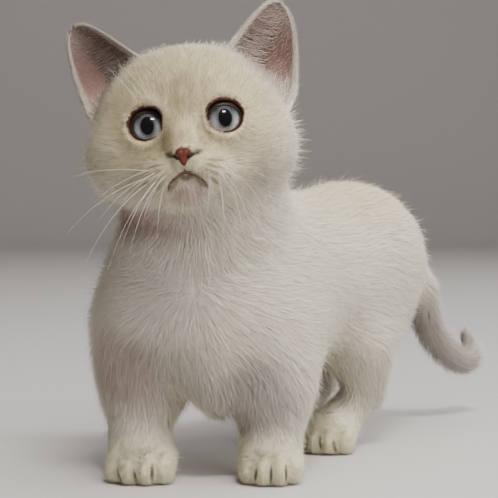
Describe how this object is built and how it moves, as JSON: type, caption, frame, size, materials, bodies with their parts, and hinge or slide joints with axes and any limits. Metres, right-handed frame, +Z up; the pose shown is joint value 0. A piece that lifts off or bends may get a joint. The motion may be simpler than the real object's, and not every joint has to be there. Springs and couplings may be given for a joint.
{
  "type": "munchkin kitten",
  "caption": "Still life-size model of a short-legged ivory kitten standing on four paws, head turned, ears up, tail curled at its tip.",
  "frame": {"origin": "centre of the model's bounding box at the floor its paws stand on", "axes": "+Z up, -Y the way the body faces, +X to the animal's left; the head is turned toward +X"},
  "size_m": [0.1074, 0.2818, 0.188],
  "materials": {
    "coat": "short dense ivory fur, matt",
    "paw_coat": "very short cream fur, matt",
    "ear": "thin pink skin with sparse pale hair",
    "eye": "wet grey-blue iris and black pupil under a clear surface",
    "nose": "bare brick-pink nose leather, fine-grained"
  },
  "bodies": {
    "root": {"head": "coat", "neck": "coat", "chest": "coat", "belly": "coat", "hips": "coat", "front_left_leg": "coat", "front_right_leg": "coat", "hind_left_leg": "coat", "hind_right_leg": "coat", "tail_root": "coat", "tail_tip": "coat", "front_left_paw": "paw_coat", "front_right_paw": "paw_coat", "hind_left_paw": "paw_coat", "hind_right_paw": "paw_coat", "ear_left": "ear", "ear_right": "ear", "eye_left": "eye", "eye_right": "eye", "nose": "nose"}
  },
  "joints": []
}
